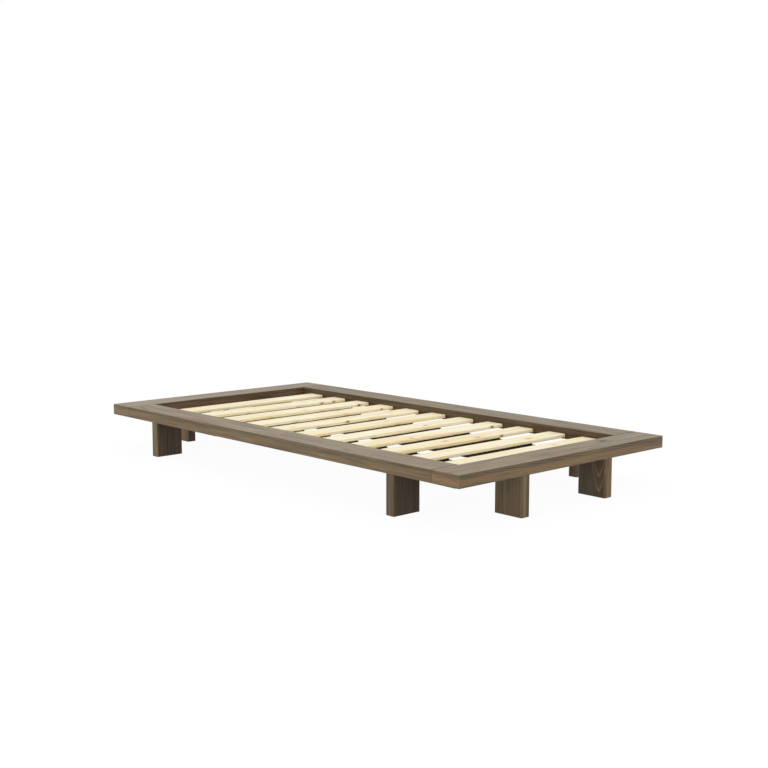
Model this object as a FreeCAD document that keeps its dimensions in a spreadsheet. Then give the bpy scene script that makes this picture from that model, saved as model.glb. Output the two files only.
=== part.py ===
import FreeCAD, Part
import os
import re
import Sketcher
from FreeCAD import Placement, Rotation, Vector

document = FreeCAD.newDocument("FutonBedFrame")
sheet = document.addObject("Spreadsheet::Sheet", "Sizes")

# Driving sizes in millimetres
driving_sizes = {
    # room for the mattress between the rails
    "mattress_length": 2000,
    "mattress_width": 900,
    "mattress_play": 5,
    # flat rails round the mattress
    "rail_width": 137,
    "rail_thick": 49,
    "rail_edge_radius": 2.5,
    "rail_end_chamfer": 1.5,
    # board legs, two under each rail, at a reach from the corners of the mattress room
    "leg_height": 156,
    "leg_width": 132,
    "leg_thick": 43,
    "side_leg_reach": 216,
    "end_leg_reach": 212,
    "leg_edge_chamfer": 2,
    # stub tenons that stop the legs from turning under the rails
    "tenon_length": 50,
    "tenon_thick": 16,
    "tenon_height": 18,
    "tenon_play": 0.4,
    # crossed bearers, whose tapered arms end in tongues let into slots in the legs
    "bearer_thick": 30,
    "bearer_depth": 100,
    "bearer_land": 4,
    "arm_depth": 40,
    "tongue_length": 45,
    "tongue_play": 0.5,
    "halving_play": 0.4,
    # slats held at their spacing by two straps, each on two pads that rest on the long bearers
    "slat_count": 11,
    "slat_width": 90,
    "slat_thick": 16,
    "slat_end_play": 8,
    "slat_margin": 74,
    "slat_edge_radius": 4,
    "strap_width": 30,
    "strap_thick": 2,
    "strap_pad_gap": 66,
    "pad_length": 60,
    "pad_width": 24,
    "pad_thick": 8,
    # screws that clamp legs and tongues under the rails
    "leg_screw_diameter": 8,
    "leg_screw_play": 1,
    "leg_screw_bite": 30,
    "leg_screw_flats": 13,
    "leg_screw_head_height": 5.3,
    "leg_screw_sink": 60,
    "leg_screw_sink_diameter": 20,
    "thread_play": 0.2,
    # loose tongues and drawn-up connectors in the corner joints
    "corner_tongue_length": 80,
    "corner_tongue_width": 35,
    "corner_tongue_thick": 12,
    "corner_tongue_spacing": 90,
    "corner_tongue_play": 0.4,
    "connector_grip": 45,
    "connector_well_length": 34,
    "connector_well_width": 34,
    "connector_depth": 27,
    "connector_rise": 14,
    "connector_slot": 10,
    "connector_plate_width": 30,
    "connector_plate_height": 22,
    "connector_plate_thick": 5,
    "connector_nut_thick": 10,
    "connector_bolt_diameter": 8,
    "connector_bolt_tail": 3,
    "connector_bolt_flats": 13,
    "connector_bolt_head_height": 5.3,
    # depth that a hole keeps beyond what it holds, and length by which a cut runs past a face
    "hole_spare": 2,
    "cut_overrun": 5,
}

# Sizes that follow from the driving ones
following_sizes = {
    "room_length": "mattress_length + 2 * mattress_play",
    "room_width": "mattress_width + 2 * mattress_play",
    "frame_width": "room_width + 2 * rail_width",
    "side_line": "room_width / 2 + rail_width / 2",
    "end_line": "room_length / 2 + rail_width / 2",
    "side_leg_line": "room_length / 2 - side_leg_reach",
    "end_leg_line": "room_width / 2 - end_leg_reach",
    "side_leg_inside": "side_line - leg_width / 2",
    "end_leg_inside": "end_line - leg_width / 2",
    "slot_length": "tongue_length + tongue_play",
    "slot_thick": "bearer_thick + tongue_play",
    "tenon_line": "-slot_length / 2",
    "leg_screw_line": "leg_width / 2 - tongue_length / 2",
    "leg_screw_hole": "leg_screw_diameter + leg_screw_play",
    "leg_screw_pilot": "leg_screw_diameter + thread_play",
    "leg_screw_length": "leg_height - leg_screw_sink + leg_screw_bite",
    "leg_screw_corner": "leg_screw_flats / sqrt(3)",
    "halving_width": "bearer_thick + halving_play",
    "slat_length": "room_width - 2 * slat_end_play",
    "slat_pitch": "(room_length - 2 * slat_margin - slat_width) / (slat_count - 1)",
    "slat_level": "leg_height + pad_thick",
    "strap_length": "room_length - 2 * slat_margin",
    "strap_line": "end_leg_line - pad_width / 2 - strap_pad_gap - strap_width / 2",
    "corner_tongue_line": "corner_tongue_spacing / 2",
    "corner_tongue_level": "leg_height + rail_thick / 2",
    "mortise_width": "corner_tongue_width + corner_tongue_play",
    "mortise_thick": "corner_tongue_thick + corner_tongue_play",
    "mortise_depth": "corner_tongue_length / 2 + hole_spare",
    "connector_level": "leg_height + connector_rise",
    "connector_reach": "connector_grip + connector_plate_thick",
    "connector_far": "connector_grip + connector_well_length",
    "connector_hole": "connector_bolt_diameter + thread_play",
    "connector_bolt_length": "connector_reach + connector_grip + connector_nut_thick + connector_bolt_tail",
    "connector_bolt_corner": "connector_bolt_flats / sqrt(3)",
}

up = Vector(0, 0, 1)
lengthwise = Vector(1, 0, 0)
crosswise = Vector(0, 1, 0)
quarter_turn = 90
straight_share = 0.99
nodes = []


def add_row(row, alias, content):
    sheet.set(f"A{row}", alias)
    sheet.set(f"B{row}", content)
    sheet.setAlias(f"B{row}", alias)


def fill_sheet():
    row = 0
    for alias, value in driving_sizes.items():
        row += 1
        add_row(row, alias, str(value))
    for alias, formula in following_sizes.items():
        row += 1
        add_row(row, alias, f"={formula}")
    document.recompute()


def cell(formula):
    return re.sub(r"[a-z][a-z_]+", lambda word: f"{sheet.Name}.{word.group()}", formula)


def number(formula):
    return float(sheet.evalExpression(cell(formula)))


def bind(target, path, formula):
    target.setExpression(path, cell(formula))


def new_body(name):
    body = document.addObject("PartDesign::Body", name)
    body.Label = name
    return body


def place_node(node, turn, x_formula, y_formula, z_formula):
    node.Placement = Placement(Vector(), Rotation(up, turn))
    bind(node, "Placement.Base.x", x_formula)
    bind(node, "Placement.Base.y", y_formula)
    bind(node, "Placement.Base.z", z_formula)
    nodes.append(node)


def new_sketch(body, name, role, offset="0"):
    sketch = body.newObject("Sketcher::SketchObject", name)
    plane = next(feature for feature in body.Origin.OriginFeatures if feature.Role == role)
    sketch.AttachmentSupport = [(plane, "")]
    sketch.MapMode = "FlatFace"
    bind(sketch, "AttachmentOffset.Base.z", offset)
    return sketch


def pin_point(sketch, geometry, position, x_formula, y_formula):
    for kind, formula in (("DistanceX", x_formula), ("DistanceY", y_formula)):
        constraint = Sketcher.Constraint(kind, -1, 1, geometry, position, number(formula))
        bind(sketch, f"Constraints[{sketch.addConstraint(constraint)}]", formula)


def add_outline(sketch, points):
    corners = [Vector(number(x_formula), number(y_formula), 0) for x_formula, y_formula in points]
    lines = []
    for corner, following in zip(corners, corners[1:] + corners[:1]):
        lines.append(sketch.addGeometry(Part.LineSegment(corner, following), False))
    for line, following in zip(lines, lines[1:] + lines[:1]):
        sketch.addConstraint(Sketcher.Constraint("Coincident", line, 2, following, 1))
    for line, (x_formula, y_formula) in zip(lines, points):
        pin_point(sketch, line, 1, x_formula, y_formula)


def add_rectangle(sketch, x_centre, y_centre, x_size, y_size):
    left, right = f"{x_centre} - {x_size} / 2", f"{x_centre} + {x_size} / 2"
    bottom, top = f"{y_centre} - {y_size} / 2", f"{y_centre} + {y_size} / 2"
    add_outline(sketch, [(left, bottom), (right, bottom), (right, top), (left, top)])


def add_hexagon(sketch, flats, corner):
    upper = [(corner, "0"), (f"{corner} / 2", f"{flats} / 2"), (f"-{corner} / 2", f"{flats} / 2")]
    lower = [(f"-{corner}", "0"), (f"-{corner} / 2", f"-{flats} / 2"), (f"{corner} / 2", f"-{flats} / 2")]
    add_outline(sketch, upper + lower)


def add_circle(sketch, x_formula, y_formula, diameter):
    centre = Vector(number(x_formula), number(y_formula), 0)
    circle = sketch.addGeometry(Part.Circle(centre, up, number(diameter) / 2), False)
    pin_point(sketch, circle, 3, x_formula, y_formula)
    constraint = Sketcher.Constraint("Diameter", circle, number(diameter))
    bind(sketch, f"Constraints[{sketch.addConstraint(constraint)}]", diameter)


def pad(body, name, sketch, length, side="One side", backward=False):
    feature = body.newObject("PartDesign::Pad", name)
    feature.Profile = sketch
    feature.SideType = side
    feature.Reversed = backward
    bind(feature, "Length", length)
    return feature


def cut(body, name, sketch, depth=None, backward=False):
    document.recompute()
    volume_before = body.Shape.Volume
    feature = body.newObject("PartDesign::Pocket", name)
    feature.Profile = sketch
    feature.Reversed = backward
    if depth:
        bind(feature, "Length", depth)
    else:
        feature.Type = "ThroughAll"
    document.recompute()
    if not body.Shape.Volume < volume_before:
        raise RuntimeError(f"{body.Label}: {name} cuts nothing")


def along(axis):
    def runs_along(edge):
        return abs(edge.tangentAt(edge.FirstParameter).dot(axis)) > straight_share
    return runs_along


def at_ends(length):
    reach = straight_share * number(length) / 2
    return lambda edge: abs(edge.CenterOfMass.x) > reach


def ease_edges(body, base, kind, size_name, size, chosen):
    document.recompute()
    edges = enumerate(base.Shape.Edges, start=1)
    easing = body.newObject(f"PartDesign::{kind}", f"Eased{kind}")
    easing.Base = (base, [f"Edge{place}" for place, edge in edges if chosen(edge)])
    bind(easing, size_name, size)
    return easing


def make_plank(body, length):
    section = new_sketch(body, "Section", "YZ_Plane")
    add_rectangle(section, "0", "rail_thick / 2", "rail_width", "rail_thick")
    plank = pad(body, "Plank", section, length, "Symmetric")
    return ease_edges(body, plank, "Fillet", "Radius", "rail_edge_radius", along(lengthwise))


def cut_leg_seats(body, leg_line):
    mortises = new_sketch(body, "LegMortises", "XY_Plane")
    pilots = new_sketch(body, "ScrewPilots", "XY_Plane")
    for end in ("", "-"):
        place = f"{end}{leg_line}"
        add_rectangle(mortises, place, "tenon_line", "(tenon_thick + tenon_play)", "(tenon_length + tenon_play)")
        add_circle(pilots, place, "leg_screw_line", "leg_screw_pilot")
    cut(body, "LegSockets", mortises, "tenon_height + hole_spare", True)
    cut(body, "ScrewBores", pilots, "leg_screw_bite + hole_spare", True)


def connector_outline(joint, inward):
    mouth = f"{joint} - {inward}cut_overrun"
    wall = f"{joint} + {inward}connector_grip"
    back = f"{joint} + {inward}connector_far"
    slot_side = [(mouth, "connector_slot / 2"), (wall, "connector_slot / 2")]
    well_side = [(wall, "connector_well_width / 2"), (back, "connector_well_width / 2")]
    half = slot_side + well_side
    return half + [(x_formula, f"-{y_formula}") for x_formula, y_formula in reversed(half)]


def make_side_rail(name, turn, line):
    body = new_body(name)
    make_plank(body, "room_length")
    cut_leg_seats(body, "side_leg_line")
    wells = new_sketch(body, "ConnectorWells", "XY_Plane")
    add_outline(wells, connector_outline("room_length / 2", "-"))
    add_outline(wells, connector_outline("-room_length / 2", ""))
    cut(body, "ConnectorPockets", wells, "connector_depth", True)
    for end, backward in (("", False), ("-", True)):
        mortises = new_sketch(body, "TongueMortises", "YZ_Plane", f"{end}room_length / 2")
        for across in ("", "-"):
            place = f"{across}corner_tongue_line"
            add_rectangle(mortises, place, "rail_thick / 2", "mortise_width", "mortise_thick")
        cut(body, "TongueSockets", mortises, "mortise_depth", backward)
    place_node(body, turn, "0", line, "leg_height")


def make_end_rail(name, turn, line):
    body = new_body(name)
    plank = make_plank(body, "frame_width")
    ease_edges(body, plank, "Chamfer", "Size", "rail_end_chamfer", at_ends("frame_width"))
    cut_leg_seats(body, "end_leg_line")
    wells = new_sketch(body, "ConnectorWells", "XY_Plane")
    mortises = new_sketch(body, "TongueMortises", "XZ_Plane", "-rail_width / 2")
    for joint in ("side_line", "-side_line"):
        outline = connector_outline("rail_width / 2", "-")
        add_outline(wells, [(f"{joint} + {across}", inward) for inward, across in outline])
        for across in ("+", "-"):
            place = f"{joint} {across} corner_tongue_line"
            add_rectangle(mortises, place, "rail_thick / 2", "mortise_width", "mortise_thick")
    cut(body, "ConnectorPockets", wells, "connector_depth", True)
    cut(body, "TongueSockets", mortises, "mortise_depth", True)
    place_node(body, turn, line, "0", "leg_height")


def make_leg(name, turn, x_formula, y_formula):
    body = new_body(name)
    board = new_sketch(body, "Board", "YZ_Plane")
    add_rectangle(board, "0", "leg_height / 2", "leg_width", "leg_height")
    blank = pad(body, "Blank", board, "leg_thick", "Symmetric")
    ease_edges(body, blank, "Chamfer", "Size", "leg_edge_chamfer", along(up))
    slot = new_sketch(body, "TongueSlot", "XY_Plane", "leg_height")
    slot_wall = "leg_width / 2 - slot_length"
    slot_mouth = "leg_width / 2 + cut_overrun"
    add_outline(slot, [
        ("-slot_thick / 2", slot_wall),
        ("slot_thick / 2", slot_wall),
        ("slot_thick / 2", slot_mouth),
        ("-slot_thick / 2", slot_mouth),
    ])
    cut(body, "TongueSeat", slot, "arm_depth")
    tenon = new_sketch(body, "Tenon", "XY_Plane", "leg_height")
    add_rectangle(tenon, "0", "tenon_line", "tenon_thick", "tenon_length")
    pad(body, "StubTenon", tenon, "tenon_height")
    sink = new_sketch(body, "ScrewSink", "XY_Plane")
    add_circle(sink, "0", "leg_screw_line", "leg_screw_sink_diameter")
    cut(body, "ScrewSeat", sink, "leg_screw_sink", True)
    hole = new_sketch(body, "ScrewHole", "XY_Plane")
    add_circle(hole, "0", "leg_screw_line", "leg_screw_hole")
    cut(body, "ScrewBore", hole, None, True)
    place_node(body, turn, x_formula, y_formula, "0")
    return body


def arm_outline(leg_inside, crossing):
    tongue_end = f"({leg_inside} + tongue_length)"
    shoulder = f"({crossing} + halving_width / 2 + bearer_land)"
    return [
        (tongue_end, "0"),
        (tongue_end, "-arm_depth"),
        (leg_inside, "-arm_depth"),
        (shoulder, "-bearer_depth"),
    ]


def halving_outline(crossing, mouth):
    sides = [f"({crossing} + halving_width / 2)", f"({crossing} - halving_width / 2)"]
    half = "-bearer_depth / 2"
    return [(sides[0], mouth), (sides[0], half), (sides[1], half), (sides[1], mouth)]


def mirrored(points):
    return [(f"-{x_formula}", y_formula) for x_formula, y_formula in reversed(points)]


def make_bearer(name, plane, leg_inside, crossing, halved_below, x_formula, y_formula):
    body = new_body(name)
    half = arm_outline(leg_inside, crossing)
    if halved_below:
        half = half + halving_outline(crossing, "-bearer_depth")
    else:
        half = list(reversed(halving_outline(crossing, "0"))) + half
    side_view = new_sketch(body, "SideView", plane)
    add_outline(side_view, half + mirrored(half))
    pad(body, "Board", side_view, "bearer_thick", "Symmetric")
    holes = new_sketch(body, "ScrewHoles", "XY_Plane")
    for end in ("", "-"):
        hole_place = f"{end}({leg_inside} + tongue_length / 2)"
        spot = (hole_place, "0") if plane == "XZ_Plane" else ("0", hole_place)
        add_circle(holes, *spot, "leg_screw_hole")
    cut(body, "ScrewBores", holes)
    place_node(body, 0, x_formula, y_formula, "leg_height")


def slat_line(index):
    return f"slat_pitch * ({index} - (slat_count - 1) / 2)"


def make_slat(index):
    body = new_body(f"slat_{index + 1:02d}")
    section = new_sketch(body, "Section", "XZ_Plane")
    add_rectangle(section, "0", "slat_thick / 2", "slat_width", "slat_thick")
    board = pad(body, "Board", section, "slat_length", "Symmetric")
    ease_edges(body, board, "Fillet", "Radius", "slat_edge_radius", along(crosswise))
    place_node(body, 0, slat_line(index), "0", "slat_level")


def make_strap(name, line):
    strap = document.addObject("Part::Box", name)
    strap.Label = name
    bind(strap, "Length", "strap_length")
    bind(strap, "Width", "strap_width")
    bind(strap, "Height", "strap_thick")
    place_node(strap, 0, "-strap_length / 2", f"{line} - strap_width / 2", "slat_level - strap_thick")


def make_slat_pad():
    body = new_body("one_slat_pad")
    section = new_sketch(body, "Section", "XY_Plane")
    add_rectangle(section, "0", "0", "pad_length", "pad_width")
    pad(body, "Pad", section, "pad_thick")
    return body


def make_leg_screw():
    body = new_body("one_leg_screw")
    head = new_sketch(body, "Head", "XY_Plane")
    add_hexagon(head, "leg_screw_flats", "leg_screw_corner")
    pad(body, "HexHead", head, "leg_screw_head_height", backward=True)
    shank = new_sketch(body, "Shank", "XY_Plane")
    add_circle(shank, "0", "0", "leg_screw_diameter")
    pad(body, "Rod", shank, "leg_screw_length")
    return body


def make_corner_tongue():
    body = new_body("one_corner_tongue")
    section = new_sketch(body, "Section", "YZ_Plane")
    add_rectangle(section, "0", "0", "corner_tongue_width", "corner_tongue_thick")
    pad(body, "Tongue", section, "corner_tongue_length", "Symmetric")
    return body


def make_connector_bolt():
    body = new_body("one_connector_bolt")
    head = new_sketch(body, "Head", "YZ_Plane")
    add_hexagon(head, "connector_bolt_flats", "connector_bolt_corner")
    pad(body, "HexHead", head, "connector_bolt_head_height", backward=True)
    shank = new_sketch(body, "Shank", "YZ_Plane")
    add_circle(shank, "0", "0", "connector_bolt_diameter")
    pad(body, "Rod", shank, "connector_bolt_length")
    return body


def make_connector_block(name, thick, backward):
    body = new_body(name)
    section = new_sketch(body, "Section", "YZ_Plane")
    add_rectangle(section, "0", "0", "connector_plate_width", "connector_plate_height")
    add_circle(section, "0", "0", "connector_hole")
    pad(body, "Block", section, thick, backward=backward)
    return body


def add_group(name, piece, places):
    document.recompute()
    group = document.addObject("Part::Feature", name)
    group.Label = name
    copies = []
    for place in places:
        copy = piece.Shape.copy()
        copy.Placement = place
        copies.append(copy)
    group.Shape = Part.Compound(copies)
    nodes.append(group)


def corner_places(from_joint, level, shifts=("0",)):
    places = []
    for end in (1, -1):
        turn = Rotation(up, 0 if end > 0 else 2 * quarter_turn)
        for side in (1, -1):
            for shift in shifts:
                x_place = end * number(f"room_length / 2 + {from_joint}")
                y_place = side * number("side_line") + number(shift)
                places.append(Placement(Vector(x_place, y_place, number(level)), turn))
    return places


def pad_places(line):
    places = []
    for index in range(round(number("slat_count"))):
        place = Vector(number(slat_line(index)), number(line), number("leg_height"))
        places.append(Placement(place, Rotation()))
    return places


def leg_places(legs):
    document.recompute()
    seat = Placement(Vector(0, number("leg_screw_line"), number("leg_screw_sink")), Rotation())
    return [leg.Placement.multiply(seat) for leg in legs]


fill_sheet()

make_side_rail("side_rail_front", 0, "-side_line")
make_side_rail("side_rail_back", 2 * quarter_turn, "side_line")
make_end_rail("end_rail_foot", quarter_turn, "end_line")
make_end_rail("end_rail_head", -quarter_turn, "-end_line")

legs = [
    make_leg("side_leg_front_head", 0, "-side_leg_line", "-side_line"),
    make_leg("side_leg_front_foot", 0, "side_leg_line", "-side_line"),
    make_leg("side_leg_back_head", 2 * quarter_turn, "-side_leg_line", "side_line"),
    make_leg("side_leg_back_foot", 2 * quarter_turn, "side_leg_line", "side_line"),
    make_leg("end_leg_foot_front", quarter_turn, "end_line", "-end_leg_line"),
    make_leg("end_leg_foot_back", quarter_turn, "end_line", "end_leg_line"),
    make_leg("end_leg_head_front", -quarter_turn, "-end_line", "-end_leg_line"),
    make_leg("end_leg_head_back", -quarter_turn, "-end_line", "end_leg_line"),
]

for name, line in (("long_bearer_front", "-end_leg_line"), ("long_bearer_back", "end_leg_line")):
    make_bearer(name, "XZ_Plane", "end_leg_inside", "side_leg_line", True, "0", line)
for name, line in (("cross_bearer_head", "-side_leg_line"), ("cross_bearer_foot", "side_leg_line")):
    make_bearer(name, "YZ_Plane", "side_leg_inside", "end_leg_line", False, line, "0")

for index in range(round(number("slat_count"))):
    make_slat(index)
make_strap("slat_strap_front", "-strap_line")
make_strap("slat_strap_back", "strap_line")
slat_pad = make_slat_pad()
add_group("slat_pads_front", slat_pad, pad_places("-end_leg_line"))
add_group("slat_pads_back", slat_pad, pad_places("end_leg_line"))

plate = make_connector_block("one_connector_plate", "connector_plate_thick", True)
nut = make_connector_block("one_connector_nut", "connector_nut_thick", False)
tongue_shifts = ("corner_tongue_line", "-corner_tongue_line")
add_group("leg_screws", make_leg_screw(), leg_places(legs))
add_group("corner_tongues", make_corner_tongue(), corner_places("0", "corner_tongue_level", tongue_shifts))
add_group("corner_bolts", make_connector_bolt(), corner_places("-connector_reach", "connector_level"))
add_group("corner_plates", plate, corner_places("-connector_grip", "connector_level"))
add_group("corner_nuts", nut, corner_places("connector_grip", "connector_level"))

document.recompute()
for item in document.Objects:
    if "Invalid" in item.State or "Error" in item.State:
        raise RuntimeError(f"{item.Label} failed to build")
for node in nodes:
    if node.Shape.isNull() or not node.Shape.isValid():
        raise RuntimeError(f"{node.Label} has no sound shape")

os.makedirs("parts", exist_ok=True)
for node in nodes:
    node.Shape.exportStep(f"parts/{node.Label}.step")
print(f"{len(nodes)} pieces written")
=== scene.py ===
import math
import bmesh
import bpy
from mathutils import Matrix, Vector


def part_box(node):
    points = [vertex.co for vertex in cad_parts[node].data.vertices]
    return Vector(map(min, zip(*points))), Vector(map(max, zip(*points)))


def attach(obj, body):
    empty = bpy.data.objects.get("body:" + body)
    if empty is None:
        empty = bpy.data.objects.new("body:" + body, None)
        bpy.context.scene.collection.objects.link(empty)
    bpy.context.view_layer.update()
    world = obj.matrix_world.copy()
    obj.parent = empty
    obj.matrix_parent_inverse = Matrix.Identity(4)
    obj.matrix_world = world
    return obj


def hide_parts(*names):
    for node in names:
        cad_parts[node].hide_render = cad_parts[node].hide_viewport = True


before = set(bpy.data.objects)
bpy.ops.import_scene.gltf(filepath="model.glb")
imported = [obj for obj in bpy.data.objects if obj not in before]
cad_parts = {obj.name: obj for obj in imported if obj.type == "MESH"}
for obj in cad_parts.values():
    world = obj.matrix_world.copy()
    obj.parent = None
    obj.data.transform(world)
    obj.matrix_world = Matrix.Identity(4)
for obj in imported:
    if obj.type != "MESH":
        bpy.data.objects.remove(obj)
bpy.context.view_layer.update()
print("frame loaded with", len(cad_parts), "pieces")


def screenColour(red, green, blue):  # 0 to 255 as on a screen, turned into the shader's linear colour
    linear = []
    for level in (red, green, blue):
        share = level / 255
        linear.append(share / 12.92 if share <= 0.04045 else ((share + 0.055) / 1.055) ** 2.4)
    return tuple(linear) + (1.0,)


class Wire:  # a node's output that takes part in Python sums
    def __init__(self, graph, socket):
        self.graph = graph
        self.socket = socket

    def out(self, name):  # another output of the same node
        return Wire(self.graph, self.socket.node.outputs[name])

    def __add__(self, other):
        return self.graph.maths("ADD", self, other)

    def __sub__(self, other):
        return self.graph.maths("SUBTRACT", self, other)

    def __rsub__(self, other):
        return self.graph.maths("SUBTRACT", other, self)

    def __mul__(self, other):
        return self.graph.maths("MULTIPLY", self, other)

    def __truediv__(self, other):
        return self.graph.maths("DIVIDE", self, other)

    def __abs__(self):
        return self.graph.maths("ABSOLUTE", self)

    __radd__ = __add__
    __rmul__ = __mul__


class Graph:  # the nodes of one material, or of the world
    def __init__(self, owner):
        owner.use_nodes = True
        self.tree = owner.node_tree
        self.tree.nodes.clear()

    def node(self, kind, settings=None, sockets=None, output=0):
        made = self.tree.nodes.new(kind)
        for name, value in (settings or {}).items():
            setattr(made, name, value)
        for name, value in (sockets or {}).items():
            if isinstance(value, Wire):
                self.tree.links.new(value.socket, made.inputs[name])
            else:
                made.inputs[name].default_value = value
        return Wire(self, made.outputs[output]) if made.outputs else None

    def maths(self, operation, *values):
        return self.node("ShaderNodeMath", {"operation": operation}, dict(enumerate(values)))

    def point(self, x, y, z):
        return self.node("ShaderNodeCombineXYZ", None, {"X": x, "Y": y, "Z": z})

    def parts(self, vector):  # the three numbers of a vector
        x = self.node("ShaderNodeSeparateXYZ", None, {"Vector": vector}, "X")
        return x, x.out("Y"), x.out("Z")

    def length(self, x, y):
        flat = self.point(x, y, 0)
        return self.node("ShaderNodeVectorMath", {"operation": "LENGTH"}, {0: flat}, "Value")

    def noise(self, place, scale, detail=2, roughness=0.5):
        return self.node("ShaderNodeTexNoise", None, {
            "Vector": place, "Scale": scale, "Detail": detail, "Roughness": roughness})

    def fade(self, value, start, end):  # 0 at start, 1 at end, with soft ends
        return self.node("ShaderNodeMapRange", {"interpolation_type": "SMOOTHSTEP"}, {
            "Value": value, "From Min": start, "From Max": end})

    def mixColour(self, share, first, second, way="MIX"):  # the numbers are the node's sockets for colours
        return self.node("ShaderNodeMix", {"data_type": "RGBA", "blend_type": way}, {
            0: share, 6: first, 7: second}, 2)

    def bump(self, height, strength, depth):
        return self.node("ShaderNodeBump", None, {
            "Strength": strength, "Distance": depth, "Height": height})

    def surface(self, sockets):  # the finish itself, from what goes into it
        shader = self.node("ShaderNodeBsdfPrincipled", None, sockets)
        self.node("ShaderNodeOutputMaterial", None, {"Surface": shader})


def between(share, low, high):
    return low + share * (high - low)


def newFinish(name):
    material = bpy.data.materials.new(name)
    return material, Graph(material)


def addObject(name, data):
    made = bpy.data.objects.new(name, data)
    bpy.context.scene.collection.objects.link(made)
    return made


# Camera
cameraValues = {
    "place": (4.0876, -3.6401, 1.0748),  # metres in the bed's own frame
    "azimuth": 47.506,  # degrees from the crosswise axis, towards the foot end
    "drop": 7.462,  # degrees below level
    "lens": 58.983,  # mm, as is the sensor
    "sensor": 36,
    "reach": 100,  # metres
}


def makeCamera():
    values = cameraValues
    lens = bpy.data.cameras.new("camera")
    lens.lens = values["lens"]
    lens.sensor_width = values["sensor"]
    lens.clip_end = values["reach"]
    camera = addObject("camera", lens)
    camera.location = values["place"]
    camera.rotation_euler = (math.radians(90 - values["drop"]), 0, math.radians(values["azimuth"]))
    bpy.context.scene.camera = camera
    bpy.context.scene.view_settings.view_transform = "Standard"


# Studio: an even white sky, one large soft lamp overhead, and a pale floor that throws their light back
studioValues = {
    "floorRadius": 40.0,
    "floorSides": 64,
    "floorDrop": 0.0003,  # a hair below the legs
    "floorTone": 0.86,
    "shadowShare": 0.05,  # how much of the shadow on the floor shows
    "clearRadius": (2.2, 5.0),  # between these the floor turns plain white
    "lampSize": (5.0, 4.0),
    "lampPlace": (0.2, -0.3, 4.0),
    "lampPower": 16,
    "sky": 1.24,  # strength of the light on the object
    "backdrop": 1.0,  # strength of floor and sky where they are seen themselves
    "white": (1, 1, 1, 1),
}


def seenDirectly(graph):  # 1 for what the camera, a mirror or a window shows, 0 for light on the object
    path = graph.node("ShaderNodeLightPath", output="Is Camera Ray")
    mirrored = graph.maths("MAXIMUM", path.out("Is Glossy Ray"), path.out("Is Transmission Ray"))
    return graph.maths("MAXIMUM", path, mirrored)


def makeFloor():
    values = studioValues
    material, graph = newFinish("paleFloor")
    x, y = graph.parts(graph.node("ShaderNodeTexCoord", output="Object"))[:2]
    clear = graph.fade(graph.length(x, y), *values["clearRadius"])
    shadow = values["shadowShare"]
    tone = values["floorTone"]
    matt = graph.node("ShaderNodeBsdfDiffuse", None, {"Color": (tone, tone, tone, 1)})
    glow = {"Color": values["white"], "Strength": values["backdrop"]}
    plain = graph.node("ShaderNodeEmission", None, glow)
    share = seenDirectly(graph) * (1 - shadow + shadow * clear)
    both = graph.node("ShaderNodeMixShader", None, {0: share, 1: matt, 2: plain})
    graph.node("ShaderNodeOutputMaterial", None, {"Surface": both})
    mesh = bpy.data.meshes.new("floor")
    disc = bmesh.new()
    bmesh.ops.create_circle(
        disc, cap_ends=True, segments=values["floorSides"], radius=values["floorRadius"])
    disc.to_mesh(mesh)
    disc.free()
    mesh.materials.append(material)
    floor = addObject("floor", mesh)
    floor.location = (0, 0, -values["floorDrop"])


def makeLight():
    values = studioValues
    world = bpy.data.worlds.new("studio")
    bpy.context.scene.world = world
    graph = Graph(world)
    white = values["white"]
    lit = graph.node("ShaderNodeBackground", None, {"Color": white, "Strength": values["sky"]})
    shown = graph.node("ShaderNodeBackground", None, {"Color": white, "Strength": values["backdrop"]})
    both = graph.node("ShaderNodeMixShader", None, {0: seenDirectly(graph), 1: lit, 2: shown})
    graph.node("ShaderNodeOutputWorld", None, {"Surface": both})
    lamp = bpy.data.lights.new("overheadLamp", "AREA")
    lamp.shape = "RECTANGLE"
    lamp.size, lamp.size_y = values["lampSize"]
    lamp.energy = values["lampPower"]
    addObject("overheadLamp", lamp).location = values["lampPlace"]


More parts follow.
